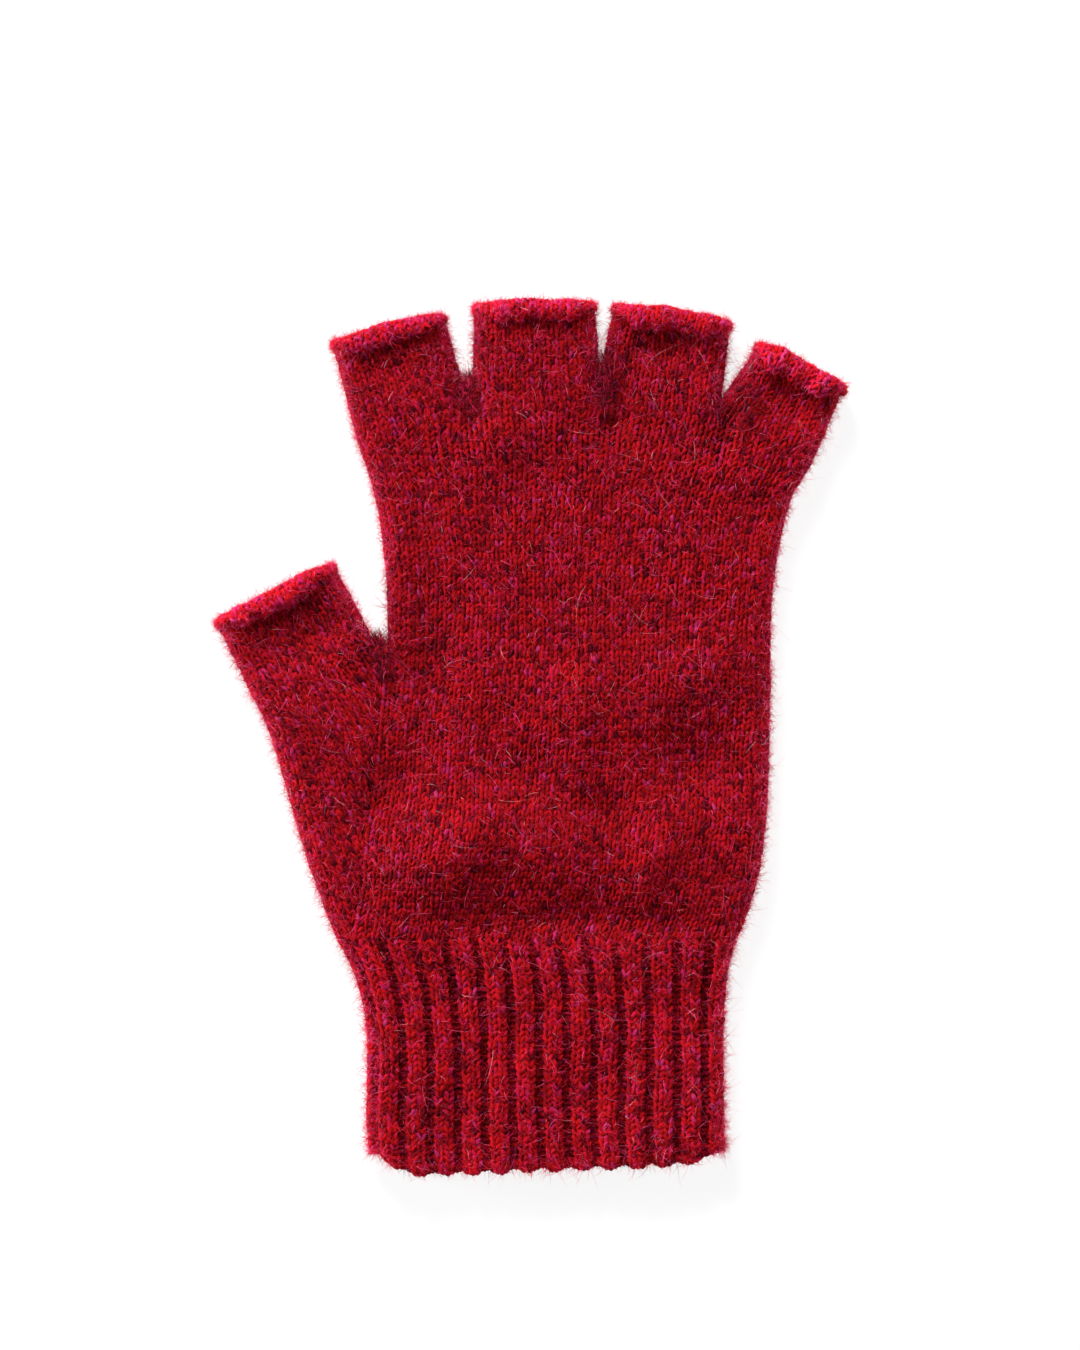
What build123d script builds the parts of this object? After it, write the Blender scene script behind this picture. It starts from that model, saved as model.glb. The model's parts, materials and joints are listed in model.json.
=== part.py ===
from build123d import *
import os
from math import cos, radians, sin

# One knitted fingerless glove, lying flat with the palm up and the fingers along +Y.
# X runs across the hand with the thumb on the -X side, Z is up, and the underside lies on Z = 0.
# The origin is under the middle of the glove. Every size is in millimetres.
#
# The glove is knitted as a set of flattened tubes: four finger tubes and a thumb tube open into the
# hand, the hand narrows into a ribbed cuff, and every open end is finished by its own edge.

# Driving dimensions
thickness = 9.5  # both layers of fabric and the air held between them
wall = 1.9  # one layer of brushed knitted fabric
joint_gap = 0.4  # room between a part that folds and the hand
thumb_crotch = (-33.1, 15.3)  # where the slit between the thumb and the hand ends
cuff_top = -46.0  # where the plain knitting turns into rib

roll_length = 4.0  # how much of a finger's end its rolled edge takes up
roll_proud = 1.4  # how far the roll stands above the fabric beside it
roll_side = 0.7  # how far it stands out at each side

rib_count = 13  # raised ribs across one face of the cuff
rib_pitch = 6.25
groove_radius = 1.3
groove_depth = 0.7
groove_top = -54.0  # the grooves fade out below the top of the cuff
cuff_bottom = -97.0  # where the rib meets the cast-on edge
edge_length = 3.3
edge_round = 1.2
scallop_radius = 1.5
scallop_depth = 0.8

web_width = 2.6  # bridging stitches at the bottom of each slit
web_length = 6.0
web_inset = 0.5  # how far the web stays below the end of the slit

yarn_diameter = 1.6
tail_inset = 1.2  # from the inside of the fabric to the middle of a woven-in tail
tail_bow = 0.5
tail_end_room = 3.0

# Each finger: the middle of its base line, its lean from +Y towards -X in degrees, the width at its
# base, the width at its opening, and its length from the base line to the end of the roll.
fingers = {
    "index_finger": ((-26.8, 70.9), 14.5, 27.0, 26.4, 24.4),
    "middle_finger": ((1.35, 74.7), 1.0, 28.4, 27.0, 25.4),
    "ring_finger": ((29.7, 73.2), -8.0, 26.4, 25.8, 24.9),
    "little_finger": ((53.6, 67.8), -28.0, 23.4, 20.8, 20.4),
    "thumb": ((-46.4, 8.6), 26.7, 29.8, 29.4, 28.3),
}

# Cross-sections of the hand and cuff: place along Y, left edge and right edge.
four_finger_sections = [
    (15.3, -32.7, 55.2),
    (32.0, -32.6, 55.7),
    (48.0, -34.1, 58.2),
    (62.0, -37.3, 62.9),
    (78.0, -42.5, 71.5),
]
five_finger_sections = [
    (cuff_top, -44.2, 47.1),
    (-30.0, -50.2, 52.3),
    (-14.0, -55.0, 54.5),
    (2.0, -59.9, 55.0),
    (15.3, -66.3, 55.2),
]
cuff_sections = [
    (cuff_top - joint_gap, -44.1, 47.0),
    (-52.0, -40.9, 45.7),
    (-59.0, -38.5, 44.8),
    (-76.0, -37.0, 44.3),
    (cuff_bottom, -36.4, 44.5),
]

# Values that follow from the driving dimensions
half = thickness / 2
cavity = thickness - 2 * wall
hinge_offset = joint_gap + half  # from a base line to the fold beyond it
_, cuff_left, cuff_right = cuff_sections[-1]
cuff_middle = (cuff_left + cuff_right) / 2
cuff_width = cuff_right - cuff_left
groove_count = rib_count - 1
grooves = [
    cuff_middle + (i - (groove_count - 1) / 2) * rib_pitch for i in range(groove_count)
]


def finger_plane(base, lean, along, height=half):
    """A plane across a finger, at a distance along it, with its X axis across the finger."""
    across = Vector(cos(radians(lean)), sin(radians(lean)), 0)
    forward = Vector(-sin(radians(lean)), cos(radians(lean)), 0)
    centre = Vector(base[0], base[1], height) + forward * along
    return Plane(origin=centre, x_dir=across, z_dir=forward)


def hand_plane(y, left, right):
    """A plane across the hand or cuff, centred between its two edges."""
    return Plane(origin=((left + right) / 2, y, half), x_dir=(1, 0, 0), z_dir=(0, 1, 0))


def flat_tube(sections, inset=0.0, mode=Mode.ADD):
    """Lofts a flattened oval through the sections of the part that is being built."""
    ovals = []
    for y, left, right in sections:
        with BuildSketch(hand_plane(y, left, right)) as oval:
            SlotOverall(right - left - 2 * inset, thickness - 2 * inset)
        ovals.append(oval.sketch)
    loft(ovals, mode=mode)


def rounded_fold(side_plane, reach):
    """Rounds the end of a tube about its fold, so that it turns clear of the hand."""
    with BuildSketch(side_plane) as beyond_fold:
        with Locations((-half, 0)):
            Rectangle(2 * half, 2 * thickness)
        Circle(half, mode=Mode.SUBTRACT)
    extrude(beyond_fold.sketch, amount=reach, both=True, mode=Mode.SUBTRACT)


def finger_tube(base, lean, base_width, tip_width, length):
    """The plain knitted tube of one finger, open at both ends."""
    ends = [(joint_gap, base_width), (length - roll_length, tip_width)]
    with BuildPart() as tube:
        for along, width in ends:
            with BuildSketch(finger_plane(base, lean, along)):
                SlotOverall(width, thickness)
        loft()
        for along, width in ends:
            with BuildSketch(finger_plane(base, lean, along)):
                SlotOverall(width - 2 * wall, cavity)
        loft(mode=Mode.SUBTRACT)
        hinge = finger_plane(base, lean, hinge_offset)
        side = Plane(origin=hinge.origin, x_dir=hinge.z_dir, z_dir=hinge.x_dir)
        rounded_fold(side, base_width)
    return tube.part


def rolled_edge(base, lean, tip_width, length):
    """The bound-off end of a finger, which curls outwards into a roll round its opening."""
    start = length - roll_length
    roll_height = thickness + roll_proud
    with BuildPart() as roll:
        with BuildSketch(finger_plane(base, lean, start, roll_height / 2)) as outline:
            SlotOverall(tip_width + 2 * roll_side, roll_height)
        extrude(amount=roll_length)
        along_finger = Axis(outline.workplanes[0].origin, outline.workplanes[0].z_dir)
        rims = roll.edges().group_by(along_finger)
        fillet(rims[0] + rims[-1], radius=0.45 * roll_length)
        with BuildSketch(finger_plane(base, lean, start)):
            SlotOverall(tip_width - 2 * wall, cavity)
        extrude(amount=roll_length, mode=Mode.SUBTRACT)
    return roll.part


def woven_tail(start, middle, end):
    """A short end of yarn that lies along the fold inside a tube."""
    with BuildPart() as tail:
        with BuildLine() as route:
            ThreePointArc(start, middle, end)
        with BuildSketch(Plane(origin=route.line @ 0, z_dir=route.line % 0)):
            Circle(yarn_diameter / 2)
        sweep(path=route.line)
    return tail.part


def finger_tail(base, lean, base_width, tip_width, length):
    """The woven-in tail of one finger, along the side of its tube away from the thumb."""
    spots = [hinge_offset, length / 2, length - roll_length - tail_end_room]
    bows = [0, tail_bow, 0]
    points = []
    for along, bow in zip(spots, bows):
        width = base_width + (tip_width - base_width) * along / length
        plane = finger_plane(base, lean, along)
        points.append(plane.origin + plane.x_dir * (width / 2 - wall - tail_inset - bow))
    return woven_tail(*points)


def slit_web(point, lean=0.0):
    """The bridging stitches that join palm and back where a slit ends, set inside the hand."""
    centre = (point[0], point[1] - web_inset - web_length / 2, wall)
    with BuildPart() as web:
        with BuildSketch(Plane(origin=centre, z_dir=(0, 0, 1))):
            SlotOverall(web_length, web_width, rotation=90 + lean)
        extrude(amount=cavity)
    return web.part


def slit_end(left_finger, right_finger):
    """The point where the base lines of two neighbouring fingers cross, which ends their slit."""
    (left_base, left_lean), (right_base, right_lean) = left_finger[:2], right_finger[:2]
    left_slope = sin(radians(left_lean)) / cos(radians(left_lean))
    right_slope = sin(radians(right_lean)) / cos(radians(right_lean))
    rise = right_base[1] - left_base[1] + left_slope * left_base[0] - right_slope * right_base[0]
    x = rise / (left_slope - right_slope)
    return (x, left_base[1] + left_slope * (x - left_base[0]))


pieces = {}

# The four finger tubes and the thumb tube, each with its rolled edge and its woven-in tail
for name, (base, lean, base_width, tip_width, length) in fingers.items():
    pieces[name + "_tube"] = finger_tube(base, lean, base_width, tip_width, length)
    pieces[name + "_rolled_edge"] = rolled_edge(base, lean, tip_width, length)
    pieces[name + "_yarn_tail"] = finger_tail(base, lean, base_width, tip_width, length)

# The hand above the thumb: one wide tube that opens into the four fingers
with BuildPart() as four_finger_body:
    flat_tube(four_finger_sections)
    flat_tube(four_finger_sections, wall, Mode.SUBTRACT)
    for name, (base, lean, *_) in fingers.items():
        if name != "thumb":
            split(bisect_by=finger_plane(base, lean, 0), keep=Keep.BOTTOM)
pieces["four_finger_body"] = four_finger_body.part

# The hand below the thumb: it widens towards the thumb and opens into it on a slant
with BuildPart() as five_finger_body:
    flat_tube(five_finger_sections)
    flat_tube(five_finger_sections, wall, Mode.SUBTRACT)
    split(bisect_by=finger_plane(*fingers["thumb"][:2], 0), keep=Keep.BOTTOM)
pieces["five_finger_body"] = five_finger_body.part

# The webs at the ends of the slits
four = list(fingers.values())[:4]
pieces["index_middle_web"] = slit_web(slit_end(four[0], four[1]))
pieces["middle_ring_web"] = slit_web(slit_end(four[1], four[2]))
pieces["ring_little_web"] = slit_web(slit_end(four[2], four[3]))
pieces["thumb_web"] = slit_web(thumb_crotch)

# The ribbed cuff: its top is rounded about the fold at the wrist, and grooves part the ribs
with BuildPart() as rib_cuff:
    flat_tube(cuff_sections)
    flat_tube(cuff_sections, wall, Mode.SUBTRACT)
    fold_height = (cuff_middle, cuff_top - hinge_offset, half)
    rounded_fold(Plane(origin=fold_height, x_dir=(0, -1, 0), z_dir=(1, 0, 0)), cuff_width)
    groove_rise = half + groove_radius - groove_depth
    with BuildSketch(Plane(origin=(0, cuff_bottom, half), x_dir=(1, 0, 0), z_dir=(0, 1, 0))):
        with Locations([(x, side * groove_rise) for x in grooves for side in (-1, 1)]):
            Circle(groove_radius)
    extrude(amount=groove_top - cuff_bottom, mode=Mode.SUBTRACT)
pieces["rib_cuff"] = rib_cuff.part

# The cast-on edge: a soft rim with one scallop under each rib
with BuildPart() as cast_on_edge:
    edge_plane = hand_plane(cuff_bottom - edge_length, cuff_left, cuff_right)
    with BuildSketch(edge_plane):
        SlotOverall(cuff_width, thickness)
    extrude(amount=edge_length)
    fillet(cast_on_edge.edges().group_by(Axis.Y)[0], radius=edge_round)
    with BuildSketch(edge_plane):
        SlotOverall(cuff_width - 2 * wall, cavity)
    extrude(amount=edge_length, mode=Mode.SUBTRACT)
    notch_y = cuff_bottom - edge_length - scallop_radius + scallop_depth
    with BuildSketch(Plane.XY):
        with Locations([(x, notch_y) for x in grooves]):
            Circle(scallop_radius)
    extrude(amount=thickness, mode=Mode.SUBTRACT)
pieces["cast_on_edge"] = cast_on_edge.part

# The tail of the cast-on yarn, inside the cuff on the little-finger side
tail_x = cuff_right - wall - tail_inset
pieces["cuff_yarn_tail"] = woven_tail(
    (tail_x, cuff_bottom + 2, half),
    (tail_x - tail_bow, cuff_bottom + 12, half),
    (tail_x, cuff_bottom + 22, half),
)

os.makedirs("parts", exist_ok=True)
for name, piece in pieces.items():
    piece.label = name
    export_step(piece, f"parts/{name}.step")
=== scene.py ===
import json
import math
from collections import namedtuple

import bpy
import numpy as np
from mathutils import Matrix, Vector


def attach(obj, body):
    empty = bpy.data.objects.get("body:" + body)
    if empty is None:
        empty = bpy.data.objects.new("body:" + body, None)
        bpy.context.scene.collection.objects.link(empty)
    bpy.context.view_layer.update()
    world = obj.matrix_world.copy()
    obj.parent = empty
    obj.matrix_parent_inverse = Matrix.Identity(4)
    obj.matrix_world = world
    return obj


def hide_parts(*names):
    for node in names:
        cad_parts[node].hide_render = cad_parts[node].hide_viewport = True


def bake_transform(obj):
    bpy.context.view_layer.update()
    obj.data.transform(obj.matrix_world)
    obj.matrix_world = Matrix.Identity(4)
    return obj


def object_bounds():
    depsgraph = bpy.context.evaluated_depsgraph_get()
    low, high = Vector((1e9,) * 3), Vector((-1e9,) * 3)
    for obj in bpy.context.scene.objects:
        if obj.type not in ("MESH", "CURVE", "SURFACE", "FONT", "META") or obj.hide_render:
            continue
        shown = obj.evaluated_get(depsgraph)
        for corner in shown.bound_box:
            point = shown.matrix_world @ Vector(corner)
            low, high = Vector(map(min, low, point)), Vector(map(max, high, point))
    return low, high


# A fuzzy fingerless glove, knitted stitch by stitch over the CAD frame. Every stitch is a loop of yarn and
# every hair of the brushed surface is a thin closed solid. The tubes, edges and folds come from the frame.
# Lengths here are millimetres, and every mesh is written in metres.

MM = 0.001
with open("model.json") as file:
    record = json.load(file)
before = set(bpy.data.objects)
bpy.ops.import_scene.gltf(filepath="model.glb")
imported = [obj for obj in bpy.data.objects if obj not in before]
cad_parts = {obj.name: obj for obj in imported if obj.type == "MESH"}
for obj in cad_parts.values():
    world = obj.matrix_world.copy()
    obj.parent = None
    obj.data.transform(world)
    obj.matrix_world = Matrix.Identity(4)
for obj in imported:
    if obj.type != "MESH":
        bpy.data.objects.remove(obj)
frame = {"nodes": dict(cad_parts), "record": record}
cad_low, cad_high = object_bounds()
record = frame["record"]
nodes = frame["nodes"]
mounts = {m["name"]: m for m in record["mounts"]}
joints = {j["name"]: j for j in record["behaviour"]["joints"]}
rng = np.random.default_rng(11)

# The knitting
WALE = 2.0  # width of a stitch
COURSE = 1.4  # height of a stitch
YARN = 0.43  # radius of the yarn
PURL_DEPTH = 0.5  # how far a loop's head and foot lie behind its legs
LOOP_LEAN = 0.22  # how far a leg leans, as a share of the stitch's width
LOOP_REACH = 0.98  # how far a loop reaches up and down, in stitch heights
LOOP_POINTS = 11
YARN_SIDES = 5
HEATHER_SPREAD = 0.17  # how much the shade changes from one leg of a stitch to the next
INSET = 0.95  # from the outside of the fabric to the middle of its yarn
CORE_OUT, CORE_IN = -0.6, -1.3  # the two faces of the layer behind the loops, coloured dark as painted shade in the gaps
CORE_PROBES = 240  # places along a tube where the end of that layer is looked for
SEAM_LAP = 0.6  # the hand's stitches run on this far past a finger's base line
YARN_CLEARANCE, FIBRE_CLEARANCE = 0.8, 0.3  # below these heights a middle line is eased up off the floor

# The ribbed cuff
RIBS = 27  # round the whole cuff
RIB_DEPTH = 0.75  # how deep the grooves are between the ribs
RIB_FADE = 9.0  # the ribs flatten into the plain knitting over this length
# The columns of a rib: place from its middle and width as shares of the rib, plain 1 or purl -1, and a
# brightness, below one where the sunken purl column's yarn is darkened as painted shade
RIB_COLUMNS = [(-0.17, 0.35, 1, 1.0), (0.17, 0.35, 1, 1.0), (0.5, 0.34, -1, 0.75)]
HEM_FADE, CORNER_FADE = 4.0, 14.0  # the rim's waves and its rounded corners die out upwards over these

# The rolled edges
ROLL_REACH, ROLL_RISE = 1.75, 1.1  # half the size of the curl, along the finger and away from it
ROLL_RADIUS = math.hypot(ROLL_REACH, ROLL_RISE) / math.sqrt(2)
ROLL_LENGTH = math.radians(285) * ROLL_RADIUS  # measured along the curled fabric
ROLL_COURSE = 1.15  # height of a stitch there
ROLL_ROOM = 0.7  # left between the curl and the end of its CAD tube
ROLL_PINCH, PINCH_SHARE = 0.72, 0.28  # how much smaller the curl gets at a finger's folds, and how near them

# The brushed surface: fibres for each square millimetre of fabric
DOWN_DENSITY = 1.4
LONG_DENSITY = 1.4
GUARD_DENSITY = 0.05
HALO_REACH = 4.0  # to each side of the middle of a fold
HALO_DENSITY = 6.5  # there only
STRAY_DENSITY = 0.45  # there only
UNDERSIDE_SHARE = 0.35  # of those fibres, on the side that lies on the floor
LENGTH_POWER = 1.6  # above one, short fibres are commoner than long ones


def smoothstep(t):
    t = np.clip(t, 0.0, 1.0)
    return t * t * (3.0 - 2.0 * t)


def millimetres(point):
    return np.array(point, float) / MM


def off_floor(z, clearance):
    """Eases low heights up, so that the middle line of a strand stays above the floor."""
    return np.where(z < clearance, clearance * np.exp(z / clearance - 1), z)


# ---------- the frame


def node_points(*names):
    """The corners of some CAD nodes, in millimetres."""
    clouds = []
    for name in names:
        mesh = nodes[name].data
        points = np.empty(len(mesh.vertices) * 3)
        mesh.vertices.foreach_get("co", points)
        clouds.append(points.reshape(-1, 3) / MM)
    return np.vstack(clouds)


def edges_across(name, stations):
    """The lowest and highest X of a CAD node where planes of constant Y cut it."""
    mesh = nodes[name].data
    pairs = np.empty(len(mesh.edges) * 2, int)
    mesh.edges.foreach_get("vertices", pairs)
    ends = node_points(name)[pairs.reshape(-1, 2)]
    left, right = [], []
    for y in stations:
        rise = ends[:, :, 1] - y
        crossing = (rise[:, 0] * rise[:, 1] <= 0) & (rise[:, 0] != rise[:, 1])
        cut = ends[crossing]
        share = (y - cut[:, 0, 1]) / (cut[:, 1, 1] - cut[:, 0, 1])
        x = cut[:, 0, 0] + share * (cut[:, 1, 0] - cut[:, 0, 0])
        left.append(x.min())
        right.append(x.max())
    return np.array(left), np.array(right)


THICKNESS = node_points("four_finger_body")[:, 2].max()
MIDDLE = THICKNESS / 2

# Where the glove lies lofted or sunken on its upper side: place, reach along and across, turn, height
HILLS = [
    ((-18, -26), (14, 9.8), 30, 4.9),
    ((2, -24.5), (10, 8), -3, 2.4),
    ((28.5, -27.5), (6, 7.5), 4, 3.8),
    ((44, -22), (6, 7), 25, 0.5),
    ((38, -6), (10, 9), 15, -3.6),
    ((17, -17), (7, 6), -30, -2.9),
    ((-33, -12), (13, 6), 52, -1.9),
    ((-5, -9), (11, 5), -5, -1.1),
    ((14, 7), (13, 9.5), 5, 2.2),
    ((36, 14.5), (9, 7), 20, 2.2),
    ((15, -42.5), (27, 4.2), 0, -2),
    ((12, -39), (8, 5), 0, -1.2),
    ((-24, 18), (8, 17), 0, -2.8),
    ((-2, 56), (24, 8), 0, -0.6),
    ((-7, 68), (7, 8), 0, 1.2),
    ((31, 71), (11, 8), -8, -1.5),
    ((52, 52), (7, 6.5), -20, -1.5),
    ((19, 79), (5, 11), 0, -2.6),
    ((-15.5, 78), (4, 9), 12, -2),
    ((45, 73), (3.5, 7), -20, -1.6),
    ((-52, 22), (11, 5.5), 27, -1.7),
    ((-37, 15), (5.5, 8), 27, -1.5),
    ((-31, 83), (10, 4), 14, -0.8),
    ((33, 87.5), (11, 4.5), -8, -1.5),
    ((59, 77), (11, 5), -28, -2),
    ((-16, -87), (5, 16), 0, -1.1),
    ((14, -79), (9, 7), 25, -1.2),
    ((26, -93), (8, 7), 0, 0.8),
    ((36, -60), (8, 7), 20, -0.8),
]

# Creases below the slits, where the fabric of two fingers closes, darkened with painted shade: place, reach,
# turn, depth of shade
CREASES = [
    ((-14.5, 76.5), (2.6, 8), 7, 0.75),
    ((17.3, 81.5), (2.6, 9), -4, 0.80),
    ((44.5, 71), (2.6, 8), -18, 0.75),
    ((-36.5, 18.5), (3, 6), 14, 0.45),
]


def mounds(x, y, table):
    """The sum of some rounded mounds at points of the plan."""
    height = np.zeros(np.shape(x))
    for (hx, hy), (along, across), turn, rise in table:
        cos_turn, sin_turn = math.cos(math.radians(turn)), math.sin(math.radians(turn))
        p = ((x - hx) * cos_turn + (y - hy) * sin_turn) / along
        q = ((y - hy) * cos_turn - (x - hx) * sin_turn) / across
        height += rise * np.exp(-(p * p + q * q))
    return height


def loft(x, y):
    """How far the upper side stands above or below flat: two fine ripples, then the hills and hollows."""
    height = 0.16 * np.sin(x / 5.1 + 0.7 * np.sin(y / 7.3)) * np.sin(y / 6.3 + 1.1)
    height += 0.12 * np.sin(x / 2.9 + y / 9.0 + 2.0) * np.sin(y / 3.7 - x / 11.0)
    return height + mounds(x, y, HILLS)


def openness(points):
    """One on open fabric, less in a crease, where the yarn is darkened by it as painted shade and the fibres
    thin out.
    """
    return 1 - mounds(points[..., 0], points[..., 1], CREASES)


class Tube:
    """A flattened knitted tube. It places points by the distance round it, from the middle of its left fold
    over the upper side, by the distance along it, and by the height above the middle of the yarn."""

    def __init__(self, origin, forward, stations, left, right, relief=None, warp=None):
        self.origin = np.array(origin[:2], float)
        self.forward = np.array(forward[:2], float) / np.linalg.norm(forward[:2])
        self.across = np.array([self.forward[1], -self.forward[0]])
        self.stations = np.array(stations, float)
        self.left = np.array(left, float) + INSET
        self.right = np.array(right, float) - INSET
        self.half = MIDDLE - INSET
        self.relief, self.warp = relief, warp

    def _edges(self, v):
        left = np.interp(v, self.stations, self.left)
        right = np.interp(v, self.stations, self.right)
        return (left + right) / 2, (right - left) / 2 - self.half

    def girth(self, v):
        _, flat = self._edges(v)
        return 4 * flat + 2 * math.pi * self.half

    def front_distance(self, offset, v):
        """The distance round to a point of the upper side that is offset across from the tube's axis."""
        centre, flat = self._edges(v)
        return math.pi * self.half / 2 + np.clip(offset - centre + flat, -flat, 2 * flat)

    def place(self, s, v, c):
        """Goes round by s, along by v and out by c, all of which may be arrays."""
        centre, flat = self._edges(v)
        r = self.half
        whole = 4 * flat + 2 * math.pi * r
        s = np.mod(s, whole)
        if self.relief is not None:
            c = c + self.relief(s / whole, v)
            v = v + self.warp(s / whole, v)
        quarter = math.pi * r / 2
        d = s - quarter
        turn_right = np.clip(d - 2 * flat, 0, math.pi * r) / r
        turn_left = np.where(s < quarter, -(quarter - s), np.maximum(d - 4 * flat - math.pi * r, 0)) / r
        angle = np.where(s < quarter, math.pi / 2 - turn_left, math.pi / 2 - turn_right - turn_left)
        nx, nz = np.cos(angle), np.sin(angle)
        x = np.where(s < quarter, -flat, -flat + np.clip(d, 0, 2 * flat))
        x = x - np.clip(d - 2 * flat - math.pi * r, 0, 2 * flat)
        px = centre + x + (r + c) * nx
        pz = MIDDLE + (r + c) * nz
        plan = self.origin + px[..., None] * self.across + v[..., None] * self.forward
        upper = np.clip(0.5 + (pz - MIDDLE) / (2 * r), 0, 1)
        pz = pz + loft(plan[..., 0], plan[..., 1]) * upper
        pz = off_floor(pz, YARN_CLEARANCE)
        return np.concatenate([plan, pz[..., None]], axis=-1)


class Roll:
    """The end of a tube that curls outwards, with the same way of placing points as the tube itself. The
    distance along it is measured along the curled fabric, which follows an oval."""

    def __init__(self, tube, start, scale):
        self.tube, self.start, self.scale = tube, start, scale

    def girth(self, v):
        return self.tube.girth(np.full(np.shape(v), self.start))

    def place(self, s, v, c):
        whole = self.girth(v)
        side = np.abs(np.cos(2 * math.pi * s / whole))
        pinch = smoothstep((side - (1 - PINCH_SHARE)) / PINCH_SHARE)
        size = self.scale * (1 - ROLL_PINCH * pinch)
        size = size * (1 + 0.10 * np.sin(s / 2.3 + self.start) + 0.06 * np.sin(s / 0.9))
        wave = 0.2 * np.sin(2 * math.pi * s / whole * 3 + self.start) + 0.12 * np.sin(s / 1.7)
        turn = np.clip(v / ROLL_RADIUS, 0, None)
        reach, rise = ROLL_REACH * size, ROLL_RISE * size
        ahead, above = reach * np.cos(turn), rise * np.sin(turn)
        slope = np.hypot(ahead, above)
        kept_out = 0.6 * (ROLL_REACH - reach)  # a smaller curl starts further along
        along = self.start + wave + kept_out + reach * np.sin(turn) - c * above / slope
        out = rise * (1 - np.cos(turn)) + c * ahead / slope
        return self.tube.place(s, along, out)


# ---------- the tube list

Finger = namedtuple("Finger", "tube base forward length roll")

# Each finger: how much fuller the knitted tube lies than its CAD solid, left and right, and its roll's size
FINGERS = {
    "index_finger": (-0.7, 0.1, 0.95),
    "middle_finger": (0.0, 0.8, 0.95),
    "ring_finger": (1.4, 0.2, 1.12),
    "little_finger": (1.3, 0.3, 1.25),
    "thumb": (-0.3, 0.8, 1.0),
}
FOUR_FINGERS = list(FINGERS)[:4]
FULLER_AT = [1.0, 1.0, 0.8, 0.2]  # the share of that fullness from a finger's base to its end


def finger_shape(name):
    """A finger's tube from its fold, its opening and the width of its CAD solid."""
    opening = mounts[name + "_opening"]
    tip = millimetres(opening["pos_m"])
    forward = np.array(opening["axis"][:2])
    across = np.array([forward[1], -forward[0]])
    points = node_points(name + "_tube")[:, :2]
    along = (points - tip[:2]) @ forward
    base = tip[:2] + forward * (along.min() - 0.4)
    length = float((tip[:2] - base) @ forward)
    side = (points - base) @ across
    near = along - along.min() < 6.0
    wide, slim = np.ptp(side[near]) / 2, np.ptp(side[~near & (along > along.max() - 1)]) / 2
    stations = [-2.0, length * 0.25, length * 0.7, length + 4.0]
    half = np.array([wide + 0.3, wide * 0.75 + slim * 0.25 + 0.35, slim + 0.35, slim + 0.1])
    left, right, roll_size = FINGERS[name]
    fuller = np.array(FULLER_AT)
    tube = Tube(base, forward, stations, -(half + left * fuller), half + right * fuller)
    roll = Roll(tube, length - ROLL_REACH - YARN - ROLL_ROOM, roll_size)
    return Finger(tube, base, forward, length, roll)


def hand_tube(name, low, high, trusted, corners=(None, None), **options):
    """A tube along Y with the outline of a CAD node. Its edges run on into the outer corners of the fingers,
    each given as a point and a direction, or straight on where there are none."""
    inside = np.linspace(*trusted, 24)
    stations = np.linspace(low, high, 90)
    sides = []
    for edge, corner in zip(edges_across(name, inside), corners):
        if corner is not None:
            (x, y), (dx, dy) = corner
            kept = inside < y - 5
            known = np.concatenate([inside[kept], [y, high + 1]])
            edge = np.concatenate([edge[kept], [x, x + dx / dy * (high + 1 - y)]])
        else:
            rise = (edge[-1] - edge[-3]) / (inside[-1] - inside[-3])
            known = np.append(inside, high + 1)
            edge = np.append(edge, edge[-1] + rise * (high + 1 - inside[-1]))
        fall = (edge[1] - edge[0]) / (known[1] - known[0])
        edge = np.append(edge[0] - fall * (known[0] - low + 1), edge)
        known = np.append(low - 1, known)
        sides.append(np.interp(stations, known, edge))
    return Tube((0, 0), (0, 1), stations, *sides, **options)


def outer_corner(name, side):
    """The corner of a finger's base on one side, and the direction of the finger's edge there."""
    tube, base, forward, length, _ = shapes[name]
    reach = length * 0.8
    half = tube.right if side > 0 else -tube.left
    near, far = (np.interp(v, tube.stations, half) + INSET for v in (0.0, reach))
    edge = forward + side * (far - near) / reach * tube.across
    return base + side * near * tube.across, edge


shapes = {name: finger_shape(name) for name in FINGERS}
split_y = node_points("four_finger_body")[:, 1].min()
wrist_y = node_points("five_finger_body")[:, 1].min()
hem_y = node_points("cast_on_edge")[:, 1].min()
crotch = node_points("thumb_web").max(axis=0)[:2]

upper_tube = hand_tube(
    "four_finger_body",
    split_y - 4,
    split_y + 70,
    (split_y + 0.5, split_y + 44),
    (outer_corner("index_finger", -1), outer_corner("little_finger", 1)),
)
lower_tube = hand_tube(
    "five_finger_body",
    wrist_y - 4,
    split_y + 6,
    (wrist_y + 0.5, wrist_y + 42),
    (outer_corner("thumb", -1), None),
)


def rib_shift(share, v):
    """How far a rib moves round where the cuff is wider than at its lower end. The ribs of each face stay
    upright, and the folds take up the rest."""
    spread = 0.85 * (1 - cuff_girth / cuff_tube.girth(v))
    return spread * np.sin(4 * math.pi * share) / (4 * math.pi)


def rib_relief(share, v):
    """The height of the ribs and of the grooves between them, which fade out at the wrist."""
    share = share - rib_shift(share, v)
    fade = smoothstep((wrist_y - 0.5 - v) / RIB_FADE)
    from_rib = np.abs(np.mod(RIBS * share + 0.5, 1) - 0.5)
    return fade * (0.15 - RIB_DEPTH * smoothstep((from_rib - 0.24) / 0.2) - 3.0 * from_rib**2)


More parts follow.
